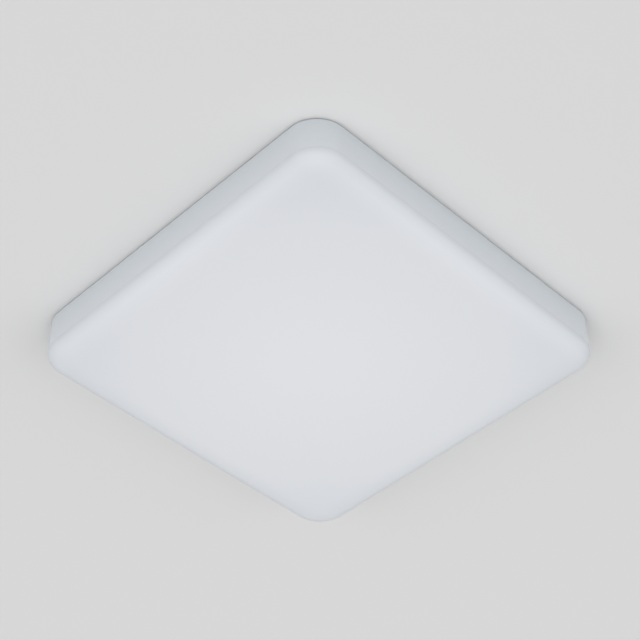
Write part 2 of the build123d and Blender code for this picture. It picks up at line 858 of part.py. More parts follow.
def clip_carriage():
    """Foot, neck and plate that ride in the channel, cheeks for the pin and an arm stop."""
    long = carriage_length / 2
    plate_low = skin_top + slide_gap
    plate_top = plate_low + carriage_plate
    neck = slot_width / 2 - slide_gap
    body = slab(-long, long, -foot_width / 2, foot_width / 2, foot_bottom, foot_top)
    body += slab(1 - long, long - 1, -neck, neck, foot_top, plate_low)
    body += slab(-long, long, -carriage_width / 2, carriage_width / 2, plate_low, plate_top)
    detent = side_profile(
        [
            (-tooth_pitch / 3, foot_bottom),
            (tooth_pitch / 3, foot_bottom),
            (0, tooth_top + slide_gap),
        ],
        -tooth_width / 2, tooth_width / 2,
    )
    body += detent
    for side in (-1, 1):
        outer = side * carriage_width / 2
        inner = side * (carriage_width / 2 - cheek_thickness)
        y0 = min(outer, inner)
        y1 = max(outer, inner)
        body += side_profile(
            [
                (2 - long, plate_top),
                (long - 1, plate_top),
                (cheek_radius, pivot_height),
                (-cheek_radius, pivot_height),
            ],
            y0, y1,
        )
        body += rod_y(0, y0, y1, pivot_height, cheek_radius)
    body += arm_stop(plate_top)
    tab = slab(
        -long, thumb_thickness - long, -thumb_width / 2, thumb_width / 2,
        plate_top, plate_top + thumb_height,
    )
    body += fillet(tab.edges().filter_by(Axis.X).sort_by(Axis.Z)[-2:], thumb_corner)
    cut = rod_y(
        0, -carriage_width / 2, carriage_width / 2, pivot_height, pin_radius + screw_clearance,
    )
    return body - cut


def arm_line(t, rise):
    """Point at t along the resting arm and rise above its centre line, from the pivot."""
    slope = radians(rest_angle)
    return (
        t * cos(slope) + rise * sin(slope),
        pivot_height - t * sin(slope) + rise * cos(slope),
    )


def arm_stop(plate_top):
    """Wall between the cheeks whose sloping top carries the arm at rest."""
    near = carriage_length / 2 - stop_thickness
    far = carriage_length / 2
    slope = radians(rest_angle)
    rise = arm_lift - stop_gap

    def top_at(x):
        return pivot_height - x * sin(slope) / cos(slope) + rise / cos(slope)

    return side_profile(
        [(near, plate_top), (far, plate_top), (far, top_at(far)), (near, top_at(near))],
        -carriage_width / 2 + cheek_thickness, carriage_width / 2 - cheek_thickness,
    )


def clip_pin():
    """Riveted pivot pin through both cheeks."""
    reach = carriage_width / 2
    pin = rod_y(0, -reach - pin_head_height, reach + pin_head_height, pivot_height, pin_radius)
    for side in (-1, 1):
        y0 = side * reach
        y1 = side * (reach + pin_head_height)
        pin += rod_y(0, min(y0, y1), max(y0, y1), pivot_height, pin_head_radius)
    return pin


def clip_arm():
    """Forked pressing with two knuckles on the pin and folded side beads."""
    low = arm_lift
    top = arm_lift + arm_thickness
    y_out = arm_width / 2
    strip = side_profile(
        [arm_line(0, low), arm_line(arm_length, low), arm_line(arm_length, top), arm_line(0, top)],
        -y_out, y_out,
    )
    window = side_profile(
        [arm_line(-9, -9), arm_line(fork_length, -9), arm_line(fork_length, 9), arm_line(-9, 9)],
        -y_out + knuckle_width, y_out - knuckle_width,
    )
    arm = strip - window
    for side in (-1, 1):
        y0 = min(side * y_out, side * (y_out - knuckle_width))
        y1 = max(side * y_out, side * (y_out - knuckle_width))
        arm += rod_y(0, y0, y1, pivot_height, hub_radius)
        bead_y0 = min(side * y_out, side * (y_out - rim_bead))
        bead_y1 = max(side * y_out, side * (y_out - rim_bead))
        arm += side_profile(
            [
                arm_line(0, top), arm_line(arm_length - pad_length, top),
                arm_line(arm_length - pad_length - 2, top + rim_bead), arm_line(0, top + rim_bead),
            ],
            bead_y0, bead_y1,
        )
    slot_x, slot_z = arm_line(arm_slot_place, low)
    slot = Pos(slot_x, 0, slot_z) * Rot(0, rest_angle, 0) * extrude(
        SlotOverall(arm_slot_length, arm_slot_width), arm_thickness, both=True,
    )
    return arm - slot - rod_y(0, -y_out, y_out, pivot_height, pin_radius + pin_running_gap)


def arm_pad():
    """Soft boot over the end of the arm."""
    start = arm_length - pad_length
    low = arm_lift - pad_wall
    top = arm_lift + arm_thickness + pad_wall / 2
    boot = side_profile(
        [
            arm_line(start, arm_lift), arm_line(start + 2, low),
            arm_line(arm_length + pad_wall - 1, low), arm_line(arm_length + pad_wall, arm_lift),
            arm_line(arm_length + pad_wall, top - 1), arm_line(arm_length + pad_wall - 1, top),
            arm_line(start, top),
        ],
        -pad_width / 2, pad_width / 2,
    )
    socket = side_profile(
        [
            arm_line(start - 1, arm_lift), arm_line(arm_length, arm_lift),
            arm_line(arm_length, arm_lift + arm_thickness),
            arm_line(start - 1, arm_lift + arm_thickness),
        ],
        -arm_width / 2, arm_width / 2,
    )
    return boot - socket


def biarc(p0, t0, p1, t1):
    """Two arcs that leave p0 along t0 and arrive at p1 along t1."""
    span = p1 - p0
    both = t0 + t1
    spread = 2 * (1 - t0.dot(t1))
    across = span.dot(both)
    reach = (sqrt(across * across + spread * span.dot(span)) - across) / spread
    first_hand = p0 + t0 * reach
    second_hand = p1 - t1 * reach
    joint = (first_hand + second_hand) * 0.5
    heading = (second_hand - first_hand).normalized()
    return [TangentArc(p0, joint, tangent=t0), TangentArc(joint, p1, tangent=heading)]


def spring_point(turn_angle, share):
    """Place and heading on the coil, which runs along Y round the pin."""
    y = spring_length * (share - 0.5)
    place = Vector(
        spring_radius * cos(turn_angle), y, pivot_height + spring_radius * sin(turn_angle),
    )
    climb = spring_length / spring_sweep
    heading = Vector(spring_radius * sin(turn_angle), climb, -spring_radius * cos(turn_angle))
    return place, heading.normalized()


start_angle = pi
end_angle = pi / 2 - radians(rest_angle)
spring_sweep = start_angle - end_angle + 2 * pi * spring_turns


def clip_spring():
    """Torsion spring: one leg down to the carriage, the turns, one leg along the arm."""
    steps = ceil(spring_sweep / (pi / 2))
    marks = [spring_point(start_angle - spring_sweep * n / steps, n / steps) for n in range(steps + 1)]
    first, first_heading = marks[0]
    last, last_heading = marks[-1]
    plate_top = skin_top + slide_gap + carriage_plate
    leg_length = first.Z - plate_top - spring_leg_gap
    leg_foot = first - first_heading * leg_length
    leg_tip = last + last_heading * spring_leg_reach
    edges = [Line(leg_foot, first)]
    for (p0, t0), (p1, t1) in zip(marks, marks[1:]):
        edges += biarc(p0, t0, p1, t1)
    edges.append(Line(last, leg_tip))
    route = Wire(edges)
    section = Plane(origin=leg_foot, z_dir=first_heading) * RegularPolygon(spring_wire, wire_sides)
    spring = sweep(section, path=route)
    turn_gap = 2 * pi * spring_length / spring_sweep - 2 * spring_wire
    print(f"spring: turns {spring_sweep / (2 * pi):.2f}, least gap between turns {turn_gap:.2f} mm")
    return spring


nodes = {
    "diffuser": diffuser,
    "back_pan": back_pan,
    "heat_spreader": heat_spreader,
    "led_board": led_board,
    "led_chips": led_chips,
    "reflector_sheet": reflector_sheet,
    "board_screws": board_screws,
    "board_connector": board_connector,
    "output_wires": output_wires,
    "driver_case": driver_case,
    "case_screws": case_screws,
    "driver_lid": driver_lid,
    "lid_screws": lid_screws,
    "cover_hinge_pin": cover_hinge_pin,
    "terminal_cover": terminal_cover,
    "terminal_block": terminal_block,
    "terminal_screws": terminal_screws,
    "cable_clamp": cable_clamp,
    "clamp_screws": clamp_screws,
    "driver_board": driver_board,
    "driver_board_screws": driver_board_screws,
    "transformer_core": transformer_core,
    "transformer_winding": transformer_winding,
    "electrolytic_capacitors": electrolytic_capacitors,
    "film_capacitor": film_capacitor,
    "filter_choke": filter_choke,
    "fuse": fuse,
    "board_chips": board_chips,
    "input_connector": input_connector,
    "output_connector": output_connector,
    "input_wires": input_wires,
}
clip_pieces = {
    "clip_carriage": clip_carriage(),
    "clip_pin": clip_pin(),
    "clip_arm": clip_arm(),
    "arm_pad": arm_pad(),
    "clip_spring": clip_spring(),
}
for name, piece in clip_pieces.items():
    nodes[name + "_right"] = Pos(clip_rest_x, 0, 0) * piece
    nodes[name + "_left"] = Rot(0, 0, 180) * (Pos(clip_rest_x, 0, 0) * piece)

os.makedirs("parts", exist_ok=True)
for name, piece in nodes.items():
    piece.label = name
    export_step(piece, f"parts/{name}.step")
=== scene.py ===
"""Square frameless downlight, dressed for a close look from every side.

Lengths are in metres. The ceiling is at height zero and the lit face looks down.
"""

import json
from math import cos, pi, radians, sin

import bmesh
import bpy
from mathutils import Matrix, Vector

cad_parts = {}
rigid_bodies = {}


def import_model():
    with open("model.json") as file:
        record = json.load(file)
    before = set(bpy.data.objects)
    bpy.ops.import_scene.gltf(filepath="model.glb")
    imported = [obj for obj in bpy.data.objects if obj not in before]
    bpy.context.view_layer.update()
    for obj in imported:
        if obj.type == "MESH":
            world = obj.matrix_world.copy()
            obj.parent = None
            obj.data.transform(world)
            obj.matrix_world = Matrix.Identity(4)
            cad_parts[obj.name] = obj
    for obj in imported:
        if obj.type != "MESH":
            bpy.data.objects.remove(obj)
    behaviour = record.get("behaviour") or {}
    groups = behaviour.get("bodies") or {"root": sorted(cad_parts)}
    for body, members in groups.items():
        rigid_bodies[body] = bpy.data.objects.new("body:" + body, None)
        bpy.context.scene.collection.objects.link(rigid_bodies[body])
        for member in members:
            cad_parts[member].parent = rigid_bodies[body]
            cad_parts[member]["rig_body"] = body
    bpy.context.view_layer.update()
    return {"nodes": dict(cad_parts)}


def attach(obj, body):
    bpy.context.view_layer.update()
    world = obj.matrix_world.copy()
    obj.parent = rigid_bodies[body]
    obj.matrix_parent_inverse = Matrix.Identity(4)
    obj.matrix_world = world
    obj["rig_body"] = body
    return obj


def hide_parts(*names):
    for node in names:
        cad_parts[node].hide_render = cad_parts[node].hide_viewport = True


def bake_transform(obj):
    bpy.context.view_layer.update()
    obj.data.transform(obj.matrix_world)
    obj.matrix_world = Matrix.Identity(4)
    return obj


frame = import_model()

# View. The lamp is seen from below and from one corner, as by someone who looks up at it
# from across a room, through a long lens.

view_pitch = radians(43.78)
view_turn = radians(44.65)
view_distance = 0.936
picture_pixels = 640
pixels_right = 1.5
pixels_up = 5.5
look = Vector(
    (sin(view_turn) * cos(view_pitch), cos(view_turn) * cos(view_pitch), sin(view_pitch)),
)
camera_data = bpy.data.cameras.new("view")
camera_data.lens = 94.95
camera_data.sensor_width = 36.0
camera_data.shift_x = pixels_right / picture_pixels
camera_data.shift_y = pixels_up / picture_pixels
camera_data.clip_start = 0.01
camera = bpy.data.objects.new("view", camera_data)
camera.location = -look * view_distance
camera.rotation_euler = look.to_track_quat("-Z", "Y").to_euler()
bpy.context.scene.collection.objects.link(camera)
bpy.context.scene.camera = camera
bpy.context.scene.view_settings.view_transform = "Standard"

# Ceiling. Smooth painted board that the lamp is pressed against, with the cut-out above it.
# From the void above it is clear to the eye, so that the back of the lamp can be looked at.

ceiling_reach = 6.0
cut_out = 0.1076
cut_out_corner = 0.0158
corner_steps = 12
board_clearance = 0.0001
floor_height = -1.5
paper = (0.679, 0.679, 0.679, 1.0)
paper_shade = (0.674, 0.674, 0.674, 1.0)


class Value:
    """A socket of a node tree that can be used in sums."""

    def __init__(self, wiring, socket):
        self.wiring = wiring
        self.socket = socket

    def __add__(self, other):
        return self.wiring.maths("ADD", self, other)

    def __radd__(self, other):
        return self.wiring.maths("ADD", other, self)

    def __sub__(self, other):
        return self.wiring.maths("SUBTRACT", self, other)

    def __rsub__(self, other):
        return self.wiring.maths("SUBTRACT", other, self)

    def __mul__(self, other):
        return self.wiring.maths("MULTIPLY", self, other)

    def __rmul__(self, other):
        return self.wiring.maths("MULTIPLY", other, self)

    def __truediv__(self, other):
        return self.wiring.maths("DIVIDE", self, other)

    def __neg__(self):
        return self.wiring.maths("MULTIPLY", self, -1.0)

    def __pow__(self, other):
        return self.wiring.maths("POWER", self, other)


class Wiring:
    """The nodes of one tree, a finish's or a shape's."""

    def __init__(self, tree):
        self.tree = tree

    def join(self, value, socket):
        if isinstance(value, list):
            for one in reversed(value):
                self.join(one, socket)
        elif isinstance(value, Value):
            self.tree.links.new(value.socket, socket)
        else:
            socket.default_value = value

    def node(self, kind, settings=None, values=None, output=0):
        made = self.tree.nodes.new(kind)
        for name, setting in (settings or {}).items():
            setattr(made, name, setting)
        for key, value in (values or {}).items():
            self.join(value, made.inputs[key])
        return Value(self, made.outputs[output])

    def maths(self, operation, first, second=0.0):
        return self.node("ShaderNodeMath", {"operation": operation}, {0: first, 1: second})


def stage_finish(name, eye_sees):
    """Matt paint, swapped for another surface where the eye's rays meet it."""
    material = bpy.data.materials.new(name)
    material.use_nodes = True
    paint = Wiring(material.node_tree)
    shader = material.node_tree.nodes["Principled BSDF"]
    shader.inputs["Roughness"].default_value = 0.9
    shader.inputs["Specular IOR Level"].default_value = 0.1
    mottle = paint.node("ShaderNodeTexNoise", {}, {"Scale": 3.0, "Detail": 2.0})
    shade = paint.node(
        "ShaderNodeMix", {"data_type": "RGBA"}, {0: mottle, 6: paper, 7: paper_shade}, 2,
    )
    paint.join(shade, shader.inputs["Base Color"])
    share, matt, other = eye_sees(paint, Value(paint, shader.outputs[0]))
    both = paint.node("ShaderNodeMixShader", {}, {0: share, 1: matt, 2: other})
    paint.join(both, material.node_tree.nodes["Material Output"].inputs["Surface"])
    return material


def eye_ray(paint):
    """1 for a ray of the eye, also where it comes by way of a mirror or glass."""
    kinds = ("Is Camera Ray", "Is Glossy Ray", "Is Transmission Ray")
    camera_ray, glossy_ray, glass_ray = [
        paint.node("ShaderNodeLightPath", {}, {}, kind) for kind in kinds
    ]
    return paint.maths("MINIMUM", camera_ray + glossy_ray + glass_ray, 1.0)


def clear_from_above(paint, matt):
    """The ceiling board: the eye sees through it from the void."""
    behind = paint.node("ShaderNodeNewGeometry", {}, {}, "Backfacing")
    return behind * eye_ray(paint), matt, paint.node("ShaderNodeBsdfTransparent")


def even_backdrop(paint, matt):
    """The floor: the eye sees its plain colour, and light passes it by."""
    glow = paint.node("ShaderNodeEmission", {}, {"Color": paper, "Strength": 1.0})
    return eye_ray(paint), paint.node("ShaderNodeBsdfTransparent"), glow


corners = ((1, 1), (-1, 1), (-1, -1), (1, -1))
cut_out_centre = cut_out - cut_out_corner
board_form = bmesh.new()
rim_verts = []
for turn, (side_x, side_y) in enumerate(corners):
    for step in range(corner_steps + 1):
        angle = (turn + step / corner_steps) * pi / 2
        rim_verts.append(board_form.verts.new((
            side_x * cut_out_centre + cut_out_corner * cos(angle),
            side_y * cut_out_centre + cut_out_corner * sin(angle),
            board_clearance,
        )))
outer_verts = [
    board_form.verts.new((x * ceiling_reach, y * ceiling_reach, board_clearance))
    for x, y in corners
]
half_corner = corner_steps // 2
for turn in range(4):
    next_corner = (corner_steps + 1) * (turn + 1)
    first = rim_verts[next_corner - half_corner - 1:next_corner]
    next_corner %= len(rim_verts)
    second = rim_verts[next_corner:next_corner + half_corner + 1]
    board_form.faces.new(first + second + [outer_verts[(turn + 1) % 4], outer_verts[turn]])
ceiling_mesh = bpy.data.meshes.new("ceiling")
board_form.to_mesh(ceiling_mesh)
board_form.free()
ceiling_mesh.materials.append(stage_finish("ceiling paint", clear_from_above))
ceiling = bpy.data.objects.new("ceiling", ceiling_mesh)
bpy.context.scene.collection.objects.link(ceiling)

floor_mesh = bpy.data.meshes.new("floor")
floor_mesh.from_pydata(
    [(x * ceiling_reach, y * ceiling_reach, floor_height) for x, y in corners],
    [], [tuple(range(len(corners)))],
)
floor_mesh.materials.append(stage_finish("floor paint", even_backdrop))
floor = bpy.data.objects.new("floor", floor_mesh)
bpy.context.scene.collection.objects.link(floor)

# Light. A pale room all round with a broad soft lamp on the viewer's side, a weaker one
# towards each side wall of the object, and one from above for its back.

world = bpy.data.worlds.new("room")
bpy.context.scene.world = world
world.use_nodes = True
room = Wiring(world.node_tree)
room_light = world.node_tree.nodes["Background"]
room_level = 0.42
room.join(room_level + (paper[0] - room_level) * eye_ray(room), room_light.inputs["Strength"])
room_light.inputs["Color"].default_value = (1.0, 1.0, 1.0, 1.0)


def soft_lamp(name, towards, strength, spread):
    """A broad lamp far off, in that direction from the object, so many degrees across."""
    light = bpy.data.lights.new(name, "SUN")
    light.energy = strength
    light.angle = radians(spread)
    lamp = bpy.data.objects.new(name, light)
    lamp.location = towards
    lamp.rotation_euler = Vector(towards).to_track_quat("Z", "Y").to_euler()
    bpy.context.scene.collection.objects.link(lamp)


soft_lamp("key", towards=(-0.12, -0.09, -0.50), strength=1.22, spread=60.0)
soft_lamp("left fill", towards=(-0.80, 0.13, -0.52), strength=0.63, spread=50.0)
soft_lamp("right fill", towards=(0.28, -0.78, -0.52), strength=0.62, spread=50.0)
soft_lamp("top", towards=(-0.60, -0.17, 0.78), strength=1.8, spread=18.0)

# Diffuser. One moulding of opal acrylic that makes the whole visible face: flat, with an
# elliptical roll all round, straight sides and rounded corners. It snaps over the back pan.

half_width = 0.110
corner_radius = 0.0182
edge_reach = 0.016
edge_drop = 0.006
diffuser_depth = 0.028
diffuser_wall = 0.002
shadow_gap = 0.0012


class Finish(Wiring):
    """A material built on the Principled shader. Constants go straight to its sockets."""

    def __init__(self, name, roughness, metallic=0.0, coat=0.0):
        self.material = bpy.data.materials.new(name)
        self.material.use_nodes = True
        super().__init__(self.material.node_tree)
        self.shader = self.tree.nodes["Principled BSDF"]
        self.shader.inputs["Roughness"].default_value = roughness
        self.shader.inputs["Metallic"].default_value = metallic
        self.shader.inputs["Coat Weight"].default_value = coat
        self.place = self.node("ShaderNodeTexCoord", {}, {}, "Object")

    def noise(self, scale, detail=2.0, place=None):
        """Even noise from 0 to 1 with so many cells to the metre."""
        return self.node(
            "ShaderNodeTexNoise", {"noise_dimensions": "3D"},
            {"Vector": place or self.place, "Scale": scale, "Detail": detail},
        )

    def axis(self, index):
        """The place along X, Y or Z in metres."""
        return self.node("ShaderNodeSeparateXYZ", {}, {0: self.place}, index)

    def drawn_out(self, x, y, z):
        """Place for a pattern with so many cells to the metre along each axis."""
        return self.node("ShaderNodeMapping", {}, {"Vector": self.place, "Scale": (x, y, z)})

    def blend(self, share, first, second):
        """The first colour where the share is 0, the second where it is 1."""
        return self.node(
            "ShaderNodeMix", {"data_type": "RGBA"}, {0: share, 6: first, 7: second}, 2,
        )

    def colour(self, value):
        self.join(value, self.shader.inputs["Base Color"])

    def roughness(self, value):
        self.join(value, self.shader.inputs["Roughness"])

    def relief(self, height, depth):
        """Bumps of that height in metres."""
        bump = self.node(
            "ShaderNodeBump", {}, {"Height": height, "Distance": depth, "Strength": 1.0},
        )
        self.join(bump, self.shader.inputs["Normal"])

    def clamp(self, value, low, high):
        """0 below low, 1 above high, straight between them."""
        return self.node(
            "ShaderNodeMapRange", {"clamp": True},
            {"Value": value, "From Min": low, "From Max": high, "To Min": 0.0, "To Max": 1.0},
        )


class Shape(Wiring):
    """A tree of shape nodes with named sizes. Made once, it leaves a plain mesh."""

    def __init__(self, name, **sizes):
        super().__init__(bpy.data.node_groups.new(name, "GeometryNodeTree"))
        self.sizes = sizes
        self.size = {}
        self.blank = bpy.data.objects.new(name, bpy.data.meshes.new(name))
        bpy.context.scene.collection.objects.link(self.blank)
        for label, size in sizes.items():
            kind = "NodeSocketInt" if isinstance(size, int) else "NodeSocketFloat"
            self.tree.interface.new_socket(label, in_out="INPUT", socket_type=kind)
        self.tree.interface.new_socket(
            "Geometry", in_out="OUTPUT", socket_type="NodeSocketGeometry",
        )
        inlet = self.tree.nodes.new("NodeGroupInput")
        for label in sizes:
            self.size[label] = Value(self, inlet.outputs[label])

    def point(self, x=0.0, y=0.0, z=0.0):
        return self.node("ShaderNodeCombineXYZ", {}, {0: x, 1: y, 2: z})

    def line(self, start, end):
        return self.node("GeometryNodeCurvePrimitiveLine", {}, {"Start": start, "End": end})

    def quarter(self, centre, radii, steps, start=0.0):
        """A quarter of an ellipse, anticlockwise from the start angle."""
        arc = self.node(
            "GeometryNodeCurveArc", {"mode": "RADIUS"},
            {"Resolution": steps, "Radius": 1.0, "Start Angle": start, "Sweep Angle": pi / 2},
        )
        return self.moved(arc, centre, scale=radii)

    def moved(self, geometry, by, scale=(1.0, 1.0, 1.0), turn=(0.0, 0.0, 0.0)):
        return self.node(
            "GeometryNodeTransform", {},
            {"Geometry": geometry, "Translation": by, "Scale": scale, "Rotation": turn},
        )

    def together(self, *parts):
        return self.node("GeometryNodeJoinGeometry", {}, {0: list(parts)})

    def welded(self, geometry, distance=1e-6):
        return self.node(
            "GeometryNodeMergeByDistance", {}, {"Geometry": geometry, "Distance": distance},
        )

    def outline(self, *runs):
        """Runs that meet end to end, as one unbroken curve."""
        strips = [self.node("GeometryNodeCurveToMesh", {}, {0: run}) for run in runs]
        return self.node("GeometryNodeMeshToCurve", {}, {0: self.welded(self.together(*strips))})

    def sweep(self, path, outline, caps=False):
        """The outline's x points out of an anticlockwise path and its y points down."""
        return self.node("GeometryNodeCurveToMesh", {}, {0: path, 1: outline, "Fill Caps": caps})

    def smooth(self, geometry, angle):
        """Shaded smooth, but for edges sharper than the angle."""
        bend = self.node("GeometryNodeInputMeshEdgeAngle", {}, {}, "Unsigned Angle")
        sharp = self.node(
            "FunctionNodeCompare", {"data_type": "FLOAT", "operation": "GREATER_THAN"},
            {0: bend, 1: angle},
        )
        rounded = self.node("GeometryNodeSetShadeSmooth", {"domain": "FACE"}, {0: geometry})
        return self.node(
            "GeometryNodeSetShadeSmooth", {"domain": "EDGE"}, {0: rounded, 1: sharp, 2: False},
        )

    def make(self, geometry, finish):
        """Runs the tree and returns the piece as a plain mesh that faces outwards."""
        whole = self.node("GeometryNodeRealizeInstances", {}, {0: geometry})
        dressed = self.node(
            "GeometryNodeSetMaterial", {}, {"Geometry": whole, "Material": finish.material},
        )
        outlet = self.tree.nodes.new("NodeGroupOutput")
        self.join(dressed, outlet.inputs[0])
        modifier = self.blank.modifiers.new("shape", "NODES")
        modifier.node_group = self.tree
        for item in self.tree.interface.items_tree:
            if item.in_out == "INPUT":
                modifier[item.identifier] = self.sizes[item.name]
        shaped = self.blank.evaluated_get(bpy.context.evaluated_depsgraph_get())
        mesh = bpy.data.meshes.new_from_object(shaped)
        self.blank.modifiers.remove(modifier)
        form = bmesh.new()
        form.from_mesh(mesh)
        bmesh.ops.recalc_face_normals(form, faces=form.faces)
        form.to_mesh(mesh)
        form.free()
        self.blank.data = mesh
        return self.blank


diffuser_shape = Shape(
    "opal_diffuser", half_width=half_width, corner_radius=corner_radius, corner_steps=24,
    edge_reach=edge_reach, edge_drop=edge_drop, edge_steps=20, depth=diffuser_depth,
    wall=diffuser_wall, top_gap=shadow_gap, rim_round=0.0004, flat_margin=0.0014,
    lug_length=0.014, lug_height=0.0017, lug_reach=0.0012, lug_spacing=0.120, lug_drop=0.0066,
)


def snap_lugs(shape):
    """Two wedges inside each wall, which hook into windows in the pan's skirt.

    Each is a low block, rooted in the wall, whose upper side is drawn up to a slope there.
    """
    size = shape.size
    root = 0.0003
    step = size["lug_height"] / 3.0
    block = shape.node(
        "GeometryNodeMeshCube", {},
        {"Size": shape.point(size["lug_reach"] + root, size["lug_length"], step)},
    )
    place = shape.node("GeometryNodeInputPosition")
    outer = shape.maths("GREATER_THAN", shape.node("ShaderNodeSeparateXYZ", {}, {0: place}, 0))
    upper = shape.maths("GREATER_THAN", shape.node("ShaderNodeSeparateXYZ", {}, {0: place}, 2))
    slope = step * 2.0 / size["lug_reach"]
    wedge = shape.node(
        "GeometryNodeSetPosition", {},
        {"Geometry": block, "Selection": outer * upper,
         "Offset": shape.point(0.0, 0.0, slope * (size["lug_reach"] + root))},
    )
    reach = size["half_width"] - size["wall"] - 0.5 * size["lug_reach"] + 0.5 * root
    height = 0.5 * step - size["lug_drop"] - size["lug_height"]
    lugs = []
    for turn in range(4):
        for share in (-0.5, 0.5):
            lug = shape.moved(wedge, shape.point(reach, share * size["lug_spacing"], height))
            lugs.append(shape.moved(lug, (0.0, 0.0, 0.0), turn=(0.0, 0.0, turn * pi / 2)))
    return lugs


def diffuser_form(shape):
    """The moulding's section, carried round a square path with round corners."""
    size = shape.size
    width = size["half_width"] * 2.0
    square = shape.node(
        "GeometryNodeCurvePrimitiveQuadrilateral", {}, {"Width": width, "Height": width},
    )
    path = shape.node(
        "GeometryNodeFilletCurve", {"mode": "POLY"},
        {0: square, "Count": size["corner_steps"], "Radius": size["corner_radius"]},
    )
    roll_top = size["depth"] - size["edge_drop"]
    centre = shape.point(-size["edge_reach"], roll_top)
    flat_edge = -size["edge_reach"] - size["flat_margin"]
    inner_depth = size["depth"] - size["wall"]
    tiny = size["rim_round"]
    round_rim = shape.point(tiny, tiny, 1.0)
    rim_steps = 6
    runs = [
        shape.line(
            shape.point(flat_edge, size["depth"]), shape.point(-size["edge_reach"], size["depth"]),
        ),
        shape.quarter(
            centre, shape.point(size["edge_reach"], size["edge_drop"], 1.0), size["edge_steps"],
        ),
        shape.line(shape.point(0.0, roll_top), shape.point(0.0, size["top_gap"] + tiny)),
        shape.quarter(
            shape.point(-tiny, size["top_gap"] + tiny), round_rim, rim_steps, -pi / 2,
        ),
        shape.line(
            shape.point(-tiny, size["top_gap"]), shape.point(tiny - size["wall"], size["top_gap"]),
        ),
        shape.quarter(
            shape.point(tiny - size["wall"], size["top_gap"] + tiny), round_rim, rim_steps, pi,
        ),
        shape.line(
            shape.point(-size["wall"], size["top_gap"] + tiny),
            shape.point(-size["wall"], roll_top),
        ),
        shape.quarter(
            centre,
            shape.point(size["edge_reach"] - size["wall"], size["edge_drop"] - size["wall"], 1.0),
            size["edge_steps"],
        ),
        shape.line(
            shape.point(-size["edge_reach"], inner_depth), shape.point(flat_edge, inner_depth),
        ),
    ]
    skin = shape.sweep(path, shape.outline(*runs))
    faces_on_edge = shape.node("GeometryNodeInputMeshEdgeNeighbors")
    open_edge = shape.node(
        "FunctionNodeCompare", {"data_type": "INT", "operation": "EQUAL"},
        {2: faces_on_edge, 3: 1},
    )
    rings = shape.node("GeometryNodeMeshToCurve", {}, {0: skin, 1: open_edge})
    place = shape.node("GeometryNodeInputPosition")
    height = shape.node("ShaderNodeSeparateXYZ", {}, {0: place}, 2)
    middle = size["wall"] * 0.5 - size["depth"]
    above = shape.node(
        "FunctionNodeCompare", {"data_type": "FLOAT", "operation": "GREATER_THAN"},
        {0: height, 1: middle},
    )
    sheets = []
    for output, depth in (("Selection", inner_depth), ("Inverted", size["depth"])):
        ring = shape.node(
            "GeometryNodeSeparateGeometry", {"domain": "CURVE"}, {0: rings, 1: above}, output,
        )
        filled = shape.node("GeometryNodeFillCurve", {"mode": "NGONS"}, {0: ring})
        sheets.append(shape.moved(filled, shape.point(0.0, 0.0, -depth)))
    inside, outside = sheets
    turned = [shape.node("GeometryNodeFlipFaces", {}, {0: part}) for part in (skin, outside)]
    moulding = shape.welded(shape.together(inside, *turned), 2e-5)
    whole = shape.node(
        "GeometryNodeMeshBoolean", {"operation": "UNION", "solver": "EXACT"},
        {"Mesh 2": [moulding] + snap_lugs(shape)},
    )
    return shape.smooth(whole, radians(35))


# Painted light and shade on the opal: the middle of the face is painted paler, partly for the
# white film behind and partly as painted light, and the corners, the wall towards the ceiling
# and the start of the roll are painted darker as shade. Fades are from and to a distance or a
# height.

painted_light_middle_fade = (0.020, 0.125)
corner_shade_fade = (0.100, 0.145)
wall_shade_fade = (-0.0210, -0.0010)
face_to_wall = (-0.0279, -0.0215)
roll_shade_from = (-0.0267, -0.0240)
roll_shade_to = (-0.0232, -0.0215)

opal = Finish("opal acrylic", roughness=0.42, coat=0.15)
opal_cloud = opal.noise(9.0, 3.0)
opal_grain = opal.noise(1900.0, 2.0)
from_middle = opal.maths("SQRT", opal.axis(0) ** 2.0 + opal.axis(1) ** 2.0)
# Painted light: the middle of the face paler, partly for the white film behind it.
painted_middle_light = 1.0 - opal.clamp(from_middle + 0.012 * (opal_cloud - 0.5), *painted_light_middle_fade)
face_colour_lit = opal.blend(painted_middle_light, (0.690, 0.708, 0.742, 1.0), (0.738, 0.750, 0.776, 1.0))
# Painted shade: the corners of the face darker.
painted_corner_shade = opal.clamp(from_middle, *corner_shade_fade)
face_colour_lit = opal.blend(painted_corner_shade, face_colour_lit, (0.655, 0.678, 0.713, 1.0))
# Painted shade: the wall darker towards the ceiling.
painted_wall_shade = opal.clamp(opal.axis(2), *wall_shade_fade)
shaded_wall_colour = opal.blend(painted_wall_shade, (0.700, 0.735, 0.775, 1.0), (0.650, 0.694, 0.735, 1.0))
on_wall = opal.clamp(opal.axis(2), *face_to_wall)
opal_colour_shaded = opal.blend(on_wall, face_colour_lit, shaded_wall_colour)
# Painted shade: a darker band across the start of the roll, next to the wall.
into_roll_shade = opal.clamp(opal.axis(2), *roll_shade_from)
out_of_roll_shade = opal.clamp(opal.axis(2), *roll_shade_to)
painted_roll_shade = into_roll_shade * (1.0 - out_of_roll_shade)
opal.colour(opal.blend(painted_roll_shade, opal_colour_shaded, (0.600, 0.630, 0.668, 1.0)))
opal.roughness(0.38 + 0.08 * opal.noise(60.0, 3.0))
opal.relief(opal_grain + 0.6 * opal.noise(140.0), 0.000012)

diffuser = diffuser_shape.make(diffuser_form(diffuser_shape), opal)
diffuser.name = "diffuser_moulding"
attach(diffuser, "lamp")
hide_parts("diffuser")

# Back pan. One moulding of white polycarbonate blend, spark-eroded all over, with a skirt,
# vent slots and two channels for the clips. Its rim is the face that meets the ceiling.

